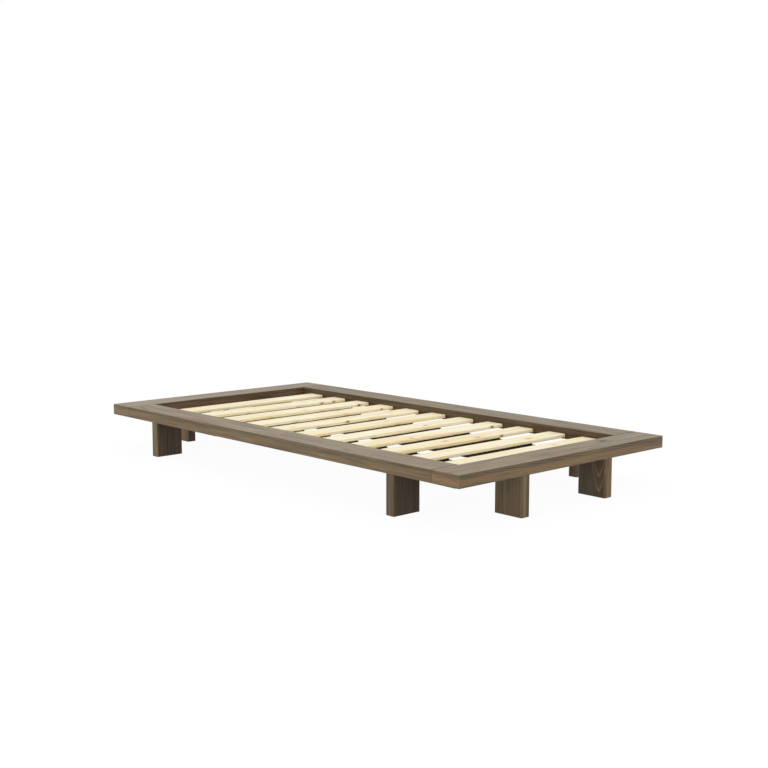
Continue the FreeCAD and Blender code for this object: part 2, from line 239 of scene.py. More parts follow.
# Wood: every board is sawn from a trunk of its own, so rings, streaks and knots run on from face to face.
# A noise is its scale, detail and roughness. A run shortens the way along the board to draw a figure out.
grainValues = {
    "ringWidth": 0.0065,
    "uneven": 1.5,  # how far rings stray from even spacing, in rings
    "darkening": (0.4, 0.9),  # shares of a ring over which its wood turns dark
    "newRing": (1.0, 0.93),  # and, from its end back, over which the dark breaks off
    "bend": 0.03,  # how far the rings wander
    "seedSteps": (1.7, 0.9, -1.3),  # how far a seed moves the wander along, across and through
    "wanderNoise": (6, 2),
    "driftNoise": (6, 1),
    "unevenNoise": (60, 1),
    "fibreNoise": (420, 2),
    "lineNoise": (150, 2, 0.6),
    "streakNoise": (46, 3, 0.6),
    "blotchNoise": (3.2, 3, 0.55),
    "wanderRun": 0.1,
    "unevenRun": 0.02,
    "fineRun": 0.03,  # for fibres and lines
    "streakRun": 0.05,
    "blotchRun": 0.5,
    "blotchCross": 2,  # blotches are narrower across the board
    "lineWander": 0.03,  # how far lines and streaks follow the wander
    "streakWander": 0.02,
    "knotRun": 0.6,
    "knotSwell": 1.3,  # how far the rings part round a knot, in its sizes
    "knotFall": -0.45,  # how soon they close again
    "knotFace": (0.4, 0.7),  # how squarely a face is turned before knots show on it
    "heart": (1.0, 0.5),  # a knot's dark heart from its rim inwards, in its sizes
    "heartRag": 0.5,  # how ragged that rim is
    "halo": (2.6, 0.8),  # the shade round it
    "leastHalo": 0.1,
    "endFace": (0.6, 0.9),  # how squarely a face is turned before it is end grain
    "sawMarks": 0.9,
    "edgeWidth": 0.004,
    "edgeFray": 0.004,
    "squareOn": (0.55, 0.85),  # how squarely a face is turned before it takes its tint of painted light or shade
    "heights": (0.5, 0.5),  # of the dark wood in the rings and of the fibres
    "bumpDepth": 0.0006,
}


def boardSpace(graph, name, grainAxis):
    low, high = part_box(name)
    centre = (low + high) / 2
    half = (high - low) / 2
    rest = sorted((axis for axis in range(3) if axis != grainAxis), key=lambda axis: -half[axis])
    order = [grainAxis] + rest
    spot = graph.node("ShaderNodeTexCoord", output="Object")
    places = graph.parts(spot)
    normals = graph.parts(spot.out("Normal"))
    space = {"half": [half[axis] for axis in order]}
    for way, axis in zip(("along", "across", "through"), order):
        space[way] = places[axis] - centre[axis]
        space[way + "Face"] = normals[axis]
    return space


def squareOn(graph, normal):  # 1 on the faces turned that way, 0 on the others
    return graph.fade(normal, *grainValues["squareOn"])


def pineGrain(graph, space, cut):
    values = grainValues
    along, across, through = space["along"], space["across"], space["through"]
    seed = cut["seed"]  # takes the board to its own part of every noise
    drawn = along * values["wanderRun"]
    shift = [seed * step for step in values["seedSteps"]]
    winding = graph.point(drawn + shift[0], across + shift[1], through + shift[2])
    wander = graph.noise(winding, *values["wanderNoise"]) - 0.5
    drift = graph.noise(graph.point(drawn - seed, through + seed, across), *values["driftNoise"]) - 0.5
    pithAcross, pithThrough = cut["pith"]
    bend = cut.get("bend", values["bend"])
    radius = graph.length(across - pithAcross + wander * bend, through - pithThrough + drift * bend)
    ringPlace = radius + along * cut["tilt"]
    core, swirl = None, None
    for place, offset, size, face, heartShare in cut.get("knots", []):
        beside, outward = (across, "throughFace") if face == "flat" else (through, "acrossFace")
        away = graph.length((along - place) * values["knotRun"], beside - offset) / size
        parting = graph.maths("EXPONENT", away * away * values["knotFall"])
        ringPlace = ringPlace + parting * (size * values["knotSwell"])
        shown = graph.fade(abs(space[outward]), *values["knotFace"])
        heart = graph.fade(away + wander * values["heartRag"], *values["heart"]) * shown * heartShare
        halo = graph.fade(away + wander, *values["halo"]) * shown * max(heartShare, values["leastHalo"])
        core = heart if core is None else graph.maths("MAXIMUM", core, heart)
        swirl = halo if swirl is None else graph.maths("MAXIMUM", swirl, halo)
    uneven = graph.noise(graph.point(radius + seed, along * values["unevenRun"], 0), *values["unevenNoise"])
    ringCount = ringPlace / cut.get("ringWidth", values["ringWidth"]) + cut.get("phase", 0)
    ring = graph.maths("FRACT", ringCount + uneven * cut.get("uneven", values["uneven"]))
    late = graph.fade(ring, *values["darkening"]) * graph.fade(ring, *values["newRing"])
    end = graph.fade(abs(space["alongFace"]), *values["endFace"])
    side = across * (1 - end * values["sawMarks"])  # saw marks draw the figure out across an end face
    fine = along * values["fineRun"]
    fibre = graph.noise(graph.point(fine + seed, side, through), *values["fibreNoise"])
    linePlace = graph.point(fine - seed, side + wander * values["lineWander"], through)
    line = graph.noise(linePlace, *values["lineNoise"])
    streakAlong = along * values["streakRun"] + seed
    streakPlace = graph.point(streakAlong, side + wander * values["streakWander"], through)
    streak = graph.noise(streakPlace, *values["streakNoise"])
    cross = values["blotchCross"]
    blotchPlace = graph.point(along * values["blotchRun"] + seed, across * cross, through * cross)
    blotch = graph.noise(blotchPlace, *values["blotchNoise"])
    gaps = [half - abs(way) for half, way in zip(space["half"], (along, across, through))]
    nearest = graph.maths("MINIMUM", gaps[0], gaps[1])
    furthest = graph.maths("MAXIMUM", gaps[0], gaps[1])
    edgeGap = graph.maths("MAXIMUM", nearest, graph.maths("MINIMUM", furthest, gaps[2]))  # the middle one
    fray = values["edgeFray"]
    edge = graph.fade(edgeGap + (fibre - 0.5) * fray + (blotch - 0.5) * fray, values["edgeWidth"], 0)
    return {
        "late": late, "fibre": fibre, "line": line, "streak": streak, "blotch": blotch, "edge": edge,
        "end": end, "core": core, "swirl": swirl, "wander": wander, "place": ringPlace, "butt": gaps[0],
    }


def finishBoard(graph, colour, grain, values, gloss):
    ringHeight, fibreHeight = grainValues["heights"]
    height = grain["late"] * ringHeight + grain["fibre"] * fibreHeight
    graph.surface({
        "Base Color": colour,
        "Roughness": between(grain["fibre"], *values["roughness"]),
        "Specular IOR Level": gloss,
        "Normal": graph.bump(height, values["bump"], grainValues["bumpDepth"]),
    })


stainValues = {
    "grey": screenColour(110, 99, 80),
    "brown": screenColour(106, 88, 63),
    "dark": screenColour(69, 58, 43),
    "tan": screenColour(137, 118, 90),
    "warm": screenColour(137, 96, 59),
    "gold": screenColour(134, 106, 66),
    "late": screenColour(132, 110, 80),
    "pale": screenColour(180, 149, 112),
    "knot": screenColour(64, 40, 14),
    "seam": screenColour(39, 31, 23),
    "worn": screenColour(141, 125, 101),
    "endGrain": screenColour(98, 85, 66),
    "endWarm": screenColour(151, 114, 77),
    "blotches": (0.3, 0.7),  # spans of a noise, from none of the second tone to all of it
    "streaks": [("dark", (0.48, 0.32)), ("tan", (0.52, 0.68))],
    "lines": [("dark", (0.48, 0.34)), ("tan", (0.53, 0.66))],
    "layerBreaks": (0.3, 0.5),
    "layerWander": 0.02,
    "layerCore": 0.6,  # how much of a layer's width is its full tone
    "streakShare": 0.5,
    "lineShare": 0.6,
    "ringShare": 0.3,
    "spanFade": 0.001,  # how softly a span of rings ends
    "swirlShare": 0.5,
    "knotShare": 0.92,
    "wornShare": 0.25,
    "endShare": 0.35,
    "seamReach": (0.007, 0.003),  # from the board's ends
    "seamShares": (0.2, 0.7),  # on every face, and how much more on top
    "roughness": (0.44, 0.6),
    "gloss": 0.28,
    "bump": 0.25,
}


def stainedPine(name, cut):
    values = stainValues
    material, graph = newFinish(f"stainedPine_{name}")
    space = boardSpace(graph, name, cut["axis"])
    grain = pineGrain(graph, space, cut)
    blotches = graph.fade(grain["blotch"], *values["blotches"])
    colour = graph.mixColour(blotches, values["grey"], values["brown"])
    for tone, span in values["streaks"]:
        streaks = graph.fade(grain["streak"], *span) * values["streakShare"]
        colour = graph.mixColour(streaks, colour, values[tone])
    upright = 1 - squareOn(graph, abs(space["throughFace"]))
    for tone, place, width, share in cut.get("layers", []):
        way = abs(space["through"] - place + grain["wander"] * values["layerWander"])
        broken = graph.fade(grain["streak"], *values["layerBreaks"])
        band = graph.fade(way, width, width * values["layerCore"]) * broken * upright
        colour = graph.mixColour(band * share, colour, values[tone])
    for tone, span in values["lines"]:
        lines = graph.fade(grain["line"], *span) * cut.get("lineShare", values["lineShare"])
        colour = graph.mixColour(lines, colour, values[tone])
    rings = grain["late"] * cut.get("ringShare", values["ringShare"])
    if "ringFace" in cut:
        rings = rings * squareOn(graph, abs(space[cut["ringFace"]]))
    if "ringSpan" in cut:
        first, last = cut["ringSpan"]
        rings = rings * graph.fade(grain["place"], first - values["spanFade"], first)
        rings = rings * graph.fade(grain["place"], last, last - values["spanFade"])
    colour = graph.mixColour(rings, colour, values[cut.get("ringTone", "late")])
    if grain["core"] is not None:
        swirl = grain["swirl"] * values["swirlShare"] * (1 - grain["late"])
        colour = graph.mixColour(swirl, colour, values["dark"])
        colour = graph.mixColour(grain["core"] * values["knotShare"], colour, values["knot"])
    colour = graph.mixColour(grain["edge"] * values["wornShare"], colour, values["worn"])
    endRings = graph.mixColour(grain["late"], values["endGrain"], values["endWarm"])
    colour = graph.mixColour(grain["end"] * values["endShare"], colour, endRings)
    if cut.get("butted"):  # stain gathers in the joint at the board's ends, most of all on top
        everywhere, onTop = values["seamShares"]
        gathered = squareOn(graph, space["throughFace"]) * onTop + everywhere
        seam = graph.fade(grain["butt"], *values["seamReach"]) * gathered
        colour = graph.mixColour(seam, colour, values["seam"])
    # painted light and shade: faces turned a given way are lightened or darkened by their tint
    for side, sign, paintedTone in cut.get("paintedLightShade", []):
        facing = abs(space[side]) if sign == 0 else space[side] * sign
        colour = graph.mixColour(squareOn(graph, facing), colour, paintedTone + (1,), "MULTIPLY")
    finishBoard(graph, colour, grain, values, cut.get("gloss", values["gloss"]))
    return material


rawValues = {
    "pale": screenColour(253, 247, 223),
    "honey": screenColour(246, 230, 190),
    "late": screenColour(233, 206, 154),
    "amber": screenColour(224, 176, 114),
    "knot": screenColour(122, 80, 44),
    "worn": screenColour(252, 246, 226),
    "endGrain": screenColour(230, 206, 158),
    "paintedSideLight": (1.03, 0.985, 0.865, 1),  # painted light: the narrow sides are lighter and a warmer tone
    "paintedFaceShade": (0.78, 0.785, 0.775, 1),  # painted shade: the wide faces are an even shade darker
    "blotches": (0.3, 0.7),
    "lines": (0.45, 0.25),
    "ringShare": 0.55,
    "lineShare": 0.5,
    "bounceReach": 0.07,  # painted reflected light from the rails: the slats' ends are a little deeper in tone
    "bounceShare": 0.35,
    "swirlShare": 0.5,
    "knotShare": 0.85,
    "wornShare": 0.3,
    "endShare": 0.4,
    "roughness": (0.5, 0.7),
    "gloss": 0.25,
    "bump": 0.2,
}


def rawPine(name, cut):
    values = rawValues
    material, graph = newFinish(f"rawPine_{name}")
    space = boardSpace(graph, name, cut["axis"])
    grain = pineGrain(graph, space, cut)
    blotches = graph.fade(grain["blotch"], *values["blotches"])
    colour = graph.mixColour(blotches, values["pale"], values["honey"])
    colour = graph.mixColour(grain["late"] * values["ringShare"], colour, values["late"])
    lines = graph.fade(grain["line"], *values["lines"]) * values["lineShare"]
    colour = graph.mixColour(lines, colour, values["late"])
    # painted reflected light: the rails' brown light deepens the tone near the slats' ends
    bounceTone = graph.fade(grain["butt"], values["bounceReach"], 0) * values["bounceShare"]
    colour = graph.mixColour(bounceTone, colour, values["late"])
    if grain["core"] is not None:
        colour = graph.mixColour(grain["swirl"] * values["swirlShare"], colour, values["amber"])
        colour = graph.mixColour(grain["core"] * values["knotShare"], colour, values["knot"])
    colour = graph.mixColour(grain["edge"] * values["wornShare"], colour, values["worn"])
    colour = graph.mixColour(grain["end"] * values["endShare"], colour, values["endGrain"])
    # painted light on the slats' narrow sides and painted shade on their wide faces
    for side, paintedTone in (("acrossFace", values["paintedSideLight"]), ("throughFace", values["paintedFaceShade"])):
        colour = graph.mixColour(squareOn(graph, abs(space[side])), colour, paintedTone, "MULTIPLY")
    finishBoard(graph, colour, grain, values, values["gloss"])
    return material


def dress(name, material):
    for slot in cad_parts[name].material_slots:
        slot.material = material


# Boards: pith is the place of the trunk's heart across and through the board, in metres, and tilt its lean.
# A knot is its place along and across its face, its size, that face and how dark its heart is.
# A layer is a streak of one tone at a depth through the board, with its half width and its share.
# A tint is painted light or painted shade: it lightens or darkens the faces turned one way, or both ways
# where its sign is 0.
# ringFace keeps the rings to one pair of faces, and ringSpan to a span of places out from the heart.
# The rails' tints are painted light and shade: tops lighter, inner faces darker, outer faces and ends a
# little darker.
railCuts = {
    "side_rail_front": {
        "axis": 0, "pith": (0.02, -0.22), "tilt": 0.012, "seed": 1.3, "gloss": 0.3, "butted": True,
        "knots": [
            (0.52, -0.04, 0.010, "flat", 0.55), (-0.955, -0.03, 0.010, "flat", 0.6),
            (-0.9, -0.045, 0.009, "flat", 0.6)],
        "layers": [("dark", 0.015, 0.006, 0.35), ("gold", -0.004, 0.009, 0.3)],
        "paintedLightShade": [
            ("acrossFace", 1, (0.6, 0.55, 0.52)), ("throughFace", 1, (1.2, 1.24, 1.31)),
            ("acrossFace", -1, (0.86, 0.84, 0.78))]},
    "side_rail_back": {
        "axis": 0, "pith": (-0.03, -0.24), "tilt": -0.01, "seed": 2.9, "gloss": 0.24, "butted": True,
        "knots": [(0.63, 0.04, 0.012, "flat", 0.5)],
        "paintedLightShade": [
            ("acrossFace", -1, (0.65, 0.575, 0.51)), ("throughFace", 1, (1.08, 1.14, 1.19)),
            ("acrossFace", 1, (0.86, 0.84, 0.78))]},
    "end_rail_foot": {
        "axis": 1, "pith": (0.02, -0.2), "tilt": 0.06, "seed": 4.2, "gloss": 0.3,
        "ringShare": 0.35, "ringTone": "pale", "ringFace": "acrossFace",
        "knots": [(0.313, -0.019, 0.016, "flat", 1.0), (0.383, -0.02, 0.012, "edge", 0.0)],
        "layers": [
            ("dark", 0.0185, 0.014, 0.65), ("gold", -0.008, 0.013, 0.5), ("warm", -0.001, 0.006, 0.5),
            ("dark", -0.023, 0.003, 0.8)],
        "paintedLightShade": [
            ("acrossFace", -1, (0.6, 0.55, 0.52)), ("throughFace", 1, (1.23, 1.26, 1.28)),
            ("acrossFace", 1, (0.655, 0.63, 0.54)), ("alongFace", 0, (0.97, 0.95, 0.91))]},
    "end_rail_head": {
        "axis": 1, "pith": (-0.02, -0.22), "tilt": -0.014, "seed": 5.7, "gloss": 0.4,
        "layers": [("dark", 0.018, 0.007, 0.6), ("warm", 0.0, 0.009, 0.7), ("dark", -0.020, 0.005, 0.6)],
        "paintedLightShade": [
            ("acrossFace", 1, (0.58, 0.5, 0.42)), ("throughFace", 1, (1.27, 1.37, 1.51)),
            ("acrossFace", -1, (0.68, 0.65, 0.56)), ("alongFace", 0, (0.88, 0.9, 0.8))]},
}
# The legs' tints are painted shade, darkest on the wide faces under the frame; one head leg's wide faces
# have painted light instead.
plainLegPaintedShade = [("throughFace", 0, (0.5, 0.5, 0.53)), ("acrossFace", 0, (0.75, 0.75, 0.7))]
legCuts = {
    "side_leg_front_head": {
        "axis": 2, "pith": (0.05, 0.09), "tilt": 0.05, "seed": 6.1,
        "paintedLightShade": [("throughFace", 0, (0.4, 0.365, 0.355)), ("acrossFace", 0, (0.8, 0.785, 0.59))]},
    "side_leg_front_foot": {
        "axis": 2, "pith": (-0.04, 0.1), "tilt": 0.04, "seed": 7.4,
        "paintedLightShade": [("throughFace", 0, (0.3, 0.253, 0.207)), ("acrossFace", 0, (0.645, 0.635, 0.615))]},
    "side_leg_back_head": {
        "axis": 2, "pith": (0.02, 0.08), "tilt": -0.06, "seed": 8.2, "paintedLightShade": plainLegPaintedShade},
    "side_leg_back_foot": {
        "axis": 2, "pith": (-0.03, 0.12), "tilt": 0.05, "seed": 9.6, "paintedLightShade": plainLegPaintedShade},
    "end_leg_foot_front": {
        "axis": 2, "pith": (-0.3, 0.02), "tilt": 0.02, "seed": 10.3, "lineShare": 0.4,
        "layers": [("pale", -0.003, 0.006, 0.55), ("dark", 0.015, 0.006, 0.5)],
        "paintedLightShade": [("throughFace", 0, (0.765, 0.745, 0.7)), ("acrossFace", 0, (0.56, 0.535, 0.48))]},
    "end_leg_foot_back": {
        "axis": 2, "pith": (0.036, 0.04), "tilt": -0.078, "seed": 11.8, "bend": 0.003,
        "ringWidth": 0.00452, "phase": 0.11, "uneven": 0.1, "ringShare": 0.65, "ringTone": "pale",
        "ringFace": "throughFace", "ringSpan": (0.0599, 0.069),
        "layers": [("tan", -0.002, 0.007, 0.6), ("warm", 0.011, 0.006, 0.6)],
        "paintedLightShade": [("throughFace", 0, (0.475, 0.46, 0.445)), ("acrossFace", 0, (0.72, 0.67, 0.55))]},
    "end_leg_head_front": {
        "axis": 2, "pith": (-0.05, 0.1), "tilt": 0.07, "seed": 12.5,
        "paintedLightShade": [("throughFace", 0, (1.1, 1.0, 0.8)), ("acrossFace", 0, (0.5, 0.47, 0.42))]},
    "end_leg_head_back": {
        "axis": 2, "pith": (0.04, 0.09), "tilt": -0.05, "seed": 13.1, "paintedLightShade": plainLegPaintedShade},
}
# painted shade: the bearers are darkened on every face, and their tops are nearly black for the shade under
# the slats
bearerValues = {
    "gloss": 0.08,
    "paintedLightShade": [
        ("throughFace", 0, (0.3, 0.26, 0.22)), ("acrossFace", -1, (0.4, 0.36, 0.32)),
        ("acrossFace", 1, (0.07, 0.06, 0.05))],
}
bearerCuts = {
    "long_bearer_front": {"axis": 0, "pith": (0.03, 0.07), "tilt": 0.01, "seed": 14.4},
    "long_bearer_back": {"axis": 0, "pith": (-0.02, 0.09), "tilt": -0.01, "seed": 15.2},
    "cross_bearer_head": {"axis": 1, "pith": (0.02, 0.08), "tilt": 0.012, "seed": 16.9},
    "cross_bearer_foot": {"axis": 1, "pith": (-0.03, 0.07), "tilt": -0.012, "seed": 17.3},
}
slatValues = {
    "count": 11,
    "leanStep": 0.37,  # how the trunk's lean changes from slat to slat
    "pithSide": 0.05,
    "pithDepths": (0.05, 0.07, 0.09),  # below the slat, in turn
    "tilt": 0.02,
    "seed": (20, 1.37),  # where the seeds start and their step
}
slatKnots = {  # for each slat, where its knots are along and across it, their sizes and how dark they are
    2: [(-0.217, -0.009, 0.008, 0.3), (0.223, 0.0, 0.007, 0.5)],
    3: [(0.056, 0.034, 0.007, 0.5), (0.256, -0.027, 0.007, 0.5)],
    4: [(0.163, -0.03, 0.011, 0.6)],
    5: [(-0.02, -0.013, 0.008, 0.5), (0.32, -0.018, 0.007, 0.4), (-0.29, 0.027, 0.008, 0.4)],
    6: [(0.123, 0.0, 0.007, 0.7)],
    7: [(0.167, 0.025, 0.009, 0.7)],
    8: [(-0.1, 0.036, 0.008, 0.6)],
    9: [(-0.049, 0.006, 0.009, 0.7), (0.113, 0.031, 0.011, 0.65)],
    10: [(0.245, 0.017, 0.011, 0.6)],
    11: [(0.213, 0.0, 0.008, 0.4)],
}
sideKnots = {  # the same for small knots in the slats' narrow sides, with the height for the way across
    2: [(0.296, 0.0, 0.007, 0.9), (0.373, 0.0, 0.006, 1.0)],
    3: [(0.385, 0.0, 0.008, 1.0)],
    4: [(0.372, 0.002, 0.006, 0.9)],
    5: [(0.006, 0.003, 0.006, 1.0)],
    8: [(0.38, 0.002, 0.008, 1.0)],
    9: [(0.247, 0.0, 0.006, 1.0)],
}
slatNames = [f"slat_{number:02d}" for number in range(1, slatValues["count"] + 1)]


def slatCut(number):
    values = slatValues
    lean = 0.5 - (number * values["leanStep"]) % 1
    depths = values["pithDepths"]
    firstSeed, seedStep = values["seed"]
    knots = []
    for face, places in (("flat", slatKnots), ("edge", sideKnots)):
        for along, offset, size, heart in places.get(number, []):
            knots.append((along, offset, size, face, heart))
    return {
        "axis": 1, "pith": (values["pithSide"] * lean, -depths[number % len(depths)]),
        "tilt": values["tilt"] * lean, "seed": firstSeed + number * seedStep, "knots": knots,
    }


def dressBoards():
    for cuts in (railCuts, legCuts):
        for name, cut in cuts.items():
            dress(name, stainedPine(name, cut))
    for name, cut in bearerCuts.items():
        dress(name, stainedPine(name, dict(bearerValues, **cut)))
    for number, name in enumerate(slatNames, 1):
        dress(name, rawPine(name, slatCut(number)))


# Own pieces: meshes built in the bed's frame
ownValues = {
    "sharpAngle": 35,  # degrees, below which an edge is smoothed over
    "weld": 1e-6,  # metres, within which two corners are one
    "near": 1e-4,  # metres, within which two places are the same
}


def addPiece(name, shape, body, material):
    bmesh.ops.recalc_face_normals(shape, faces=shape.faces)
    mesh = bpy.data.meshes.new(name)
    shape.to_mesh(mesh)
    shape.free()
    mesh.polygons.foreach_set("use_smooth", [True] * len(mesh.polygons))
    mesh.set_sharp_from_angle(angle=math.radians(ownValues["sharpAngle"]))
    mesh.materials.append(material)
    piece = addObject(name, mesh)
    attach(piece, body)
    return piece


def boxOf(points):
    low = Vector([min(point[axis] for point in points) for axis in range(3)])
    high = Vector([max(point[axis] for point in points) for axis in range(3)])
    return low, high


def solidsOf(name):  # the corner points of each separate solid of a node, in order of place
    shape = bmesh.new()
    shape.from_mesh(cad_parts[name].data)
    bmesh.ops.remove_doubles(shape, verts=shape.verts, dist=ownValues["weld"])
    left = set(shape.verts)
    solids = []
    while left:
        waiting = [left.pop()]
        points = []
        while waiting:
            corner = waiting.pop()
            points.append(corner.co.copy())
            fresh = left.intersection(edge.other_vert(corner) for edge in corner.link_edges)
            left.difference_update(fresh)
            waiting.extend(fresh)
        solids.append(points)
    shape.free()
    return sorted(solids, key=lambda points: [round(place, 5) for place in boxOf(points)[0]])


def skin(shape, rows):  # faces between rows of points, each row a ring, with a lid at both ends
    rings = [[shape.verts.new(point) for point in row] for row in rows]
    count = len(rings[0])
    for first, second in zip(rings, rings[1:]):
        for index in range(count):
            after = (index + 1) % count
            shape.faces.new((first[index], first[after], second[after], second[index]))
    shape.faces.new(rings[0][::-1])
    shape.faces.new(rings[-1])


# Webbing: two woven straps under the slats, hemmed at both ends and stapled to every slat
strapValues = {
    "thick": 0.0014,
    "pick": 0.003,  # one row of the weave
    "pickPoints": 2,  # rows of corners in it
    "threads": 12,  # warp threads across the strap
    "warp": 0.0025,  # the width of one
    "relief": 0.00016,
    "selvedge": 0.00025,  # how much thinner the outermost thread is
    "sag": 0.0012,  # how far it hangs between two slats
    "hem": 0.028,
    "bowSteps": 6,  # in the half turn into a hem
    "colour": screenColour(44, 38, 32),
    "weft": screenColour(30, 26, 22),
    "dust": screenColour(62, 54, 46),
    "weave": (-0.6, 0.6),
    "fuzzNoise": (900, 2),
    "dustNoise": (9, 3, 0.6),
    "dustSpan": (0.5, 0.75),
    "dustShares": (0.4, 0.35),  # on the fuzz, and in patches
    "heights": (0.7, 0.3),  # of the weave and of the fuzz
    "bump": (0.5, 0.0003),
    "roughness": (0.78, 0.96),
    "gloss": 0.08,
}


def webbing():
    values = strapValues
    material, graph = newFinish("wovenWebbing")
    spot = graph.node("ShaderNodeTexCoord", output="Object")
    x, y = graph.parts(spot)[:2]
    pick = graph.maths("SINE", x * (2 * math.pi / values["pick"]))
    warp = graph.maths("SINE", y * (2 * math.pi / values["warp"]))
    weave = graph.fade(pick * warp, *values["weave"])
    fuzz = graph.noise(spot, *values["fuzzNoise"])
    patches = graph.noise(spot, *values["dustNoise"])
    colour = graph.mixColour(weave, values["weft"], values["colour"])
    for figure, share in zip((fuzz, patches), values["dustShares"]):
        colour = graph.mixColour(graph.fade(figure, *values["dustSpan"]) * share, colour, values["dust"])
    weaveHeight, fuzzHeight = values["heights"]
    graph.surface({
        "Base Color": colour,
        "Roughness": between(fuzz, *values["roughness"]),
        "Specular IOR Level": values["gloss"],
        "Normal": graph.bump(weave * weaveHeight + fuzz * fuzzHeight, *values["bump"]),
    })
    return material


def strapPath(low, high, slats):  # the strap's middle line from hem to hem, as places along and heights
    values = strapValues
    turn = values["thick"] / 2 + values["relief"]
    level = high.z - values["thick"] / 2 - values["relief"]
    start = low.x + 2 * turn
    stop = high.x - 2 * turn

    def height(place):
        for left, right in zip(slats, slats[1:]):
            gap = right[0].x - left[1].x
            share = (place - left[1].x) / gap
            if 0 < share < 1:
                return level - values["sag"] * 4 * share * (1 - share)
        return level

    def bow(centre, side):  # the half turn from the top down into a hem
        points = []
        for step in range(values["bowSteps"] + 1):
            angle = math.radians(90 - 180 * step / values["bowSteps"])
            points.append((centre + side * turn * math.cos(angle), level - turn + turn * math.sin(angle)))
        return points

    count = round((stop - start) / values["pick"] * values["pickPoints"])
    top = [start + (stop - start) * index / count for index in range(1, count)]
    hemCount = round(values["hem"] / values["pick"] * values["pickPoints"])
    under = [values["hem"] * index / hemCount for index in range(hemCount, 0, -1)]
    path = [(start + away, level - 2 * turn) for away in under]
    path += bow(start, -1)[::-1]
    path += [(place, height(place)) for place in top]
    path += bow(stop, 1)
    path += [(stop - away, level - 2 * turn) for away in under[::-1]]
    return path


def weaveStrap(name, node, material, slats):
    values = strapValues
    low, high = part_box(node)
    path = strapPath(low, high, slats)
    threads = values["threads"]
    rows = []
    for index, (place, height) in enumerate(path):
        before = path[max(index - 1, 0)]
        after = path[min(index + 1, len(path) - 1)]
        run = Vector((after[0] - before[0], after[1] - before[1])).normalized()
        upper, lower = [], []
        for thread in range(threads + 1):
            y = low.y + (high.y - low.y) * thread / threads
            lift = values["relief"] if (index + thread) % 2 else -values["relief"]
            half = values["thick"] / 2 - (values["selvedge"] if thread in (0, threads) else 0)
            upper.append((place - run.y * (half + lift), y, height + run.x * (half + lift)))
            lower.append((place + run.y * (half - lift), y, height - run.x * (half - lift)))
        rows.append(upper + lower[::-1])
    shape = bmesh.new()
    skin(shape, rows)
    piece = addPiece(name, shape, "slat_base", material)
    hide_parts(node)


# Staples: two through each strap into every slat
stapleValues = {
    "crown": 0.010,
    "leg": 0.007,
    "wire": 0.0005,  # half its thickness
    "bend": 0.001,
    "apart": 0.034,
    "roundness": 2,
}


def stapleStraps(slats, material):
    values = stapleValues
    wire = bpy.data.curves.new("strap_staples", "CURVE")
    wire.dimensions = "3D"
    wire.bevel_depth = values["wire"]
    wire.bevel_resolution = values["roundness"]
    wire.use_fill_caps = True
    half = values["crown"] / 2
    bend = values["bend"]
    profile = [(-half, values["leg"]), (-half, bend), (bend - half, 0)]
    profile += [(half - bend, 0), (half, bend), (half, values["leg"])]
    for node in ("slat_strap_front", "slat_strap_back"):
        low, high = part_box(node)
        middle = (low.y + high.y) / 2
        level = high.z - strapValues["thick"] - 2 * strapValues["relief"] - values["wire"]
        for slatLow, slatHigh in slats:
            centre = (slatLow.x + slatHigh.x) / 2
            for place in (centre - values["apart"] / 2, centre + values["apart"] / 2):
                bent = wire.splines.new("POLY")
                bent.points.add(len(profile) - 1)
                for point, (side, rise) in zip(bent.points, profile):
                    point.co = (place, middle + side, level + rise, 1)
    wire.materials.append(material)
    piece = addObject("strap_staples", wire)
    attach(piece, "slat_base")


# Rubber pads: ribbed below, with eased edges, one under each slat on each long bearer
padValues = {
    "ease": 0.0009,
    "groove": (0.003, 0.0012, 0.0004),  # width, depth and how far its walls lean
    "grooves": 3,
    "black": screenColour(44, 43, 42),
    "bloom": screenColour(84, 82, 79),
    "bloomNoise": (40, 4, 0.6),
    "bloomSpan": (0.45, 0.75),
    "bloomShare": 0.5,
    "speckleNoise": (700, 3, 0.7),
    "speckleSpan": (0.6, 0.8),
    "speckleShare": 0.3,
    "bump": (0.35, 0.0003),
    "roughness": (0.62, 0.92),
    "gloss": 0.35,
}


def rubber():
    values = padValues
    material, graph = newFinish("blackRubber")
    spot = graph.node("ShaderNodeTexCoord", output="Object")
    bloom = graph.noise(spot, *values["bloomNoise"])
    speckle = graph.noise(spot, *values["speckleNoise"])
    veil = graph.fade(bloom, *values["bloomSpan"]) * values["bloomShare"]
    colour = graph.mixColour(veil, values["black"], values["bloom"])
    specks = graph.fade(speckle, *values["speckleSpan"]) * values["speckleShare"]
    colour = graph.mixColour(specks, colour, values["bloom"])
    graph.surface({
        "Base Color": colour,
        "Roughness": between(bloom, *values["roughness"]),
        "Specular IOR Level": values["gloss"],
        "Normal": graph.bump(speckle, *values["bump"]),
    })
    return material


def ribPads(name, node, material):
    values = padValues
    ease = values["ease"]
    width, depth, lean = values["groove"]
    shape = bmesh.new()
    for points in solidsOf(node):
        low, high = boxOf(points)
        middle = (low + high) / 2
        half = (high - low) / 2
        flank = [(ease - half.y, half.z), (-half.y, half.z - ease)]
        flank += [(-half.y, ease - half.z), (ease - half.y, -half.z)]
        outline = list(flank)
        for index in range(values["grooves"]):
            place = half.y * ((index + 1) / (values["grooves"] + 1) * 2 - 1)
            left, right = place - width / 2, place + width / 2
            outline += [(left, -half.z), (left + lean, depth - half.z)]
            outline += [(right - lean, depth - half.z), (right, -half.z)]
        outline += [(-y, z) for y, z in flank[::-1]]
        rows = []
        for place, inset in ((-half.x, ease), (ease - half.x, 0), (half.x - ease, 0), (half.x, ease)):
            wide, tall = 1 - inset / half.y, 1 - inset / half.z
            rows.append([middle + Vector((place, y * wide, z * tall)) for y, z in outline])
        skin(shape, rows)
    piece = addPiece(name, shape, "slat_base", material)
    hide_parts(node)


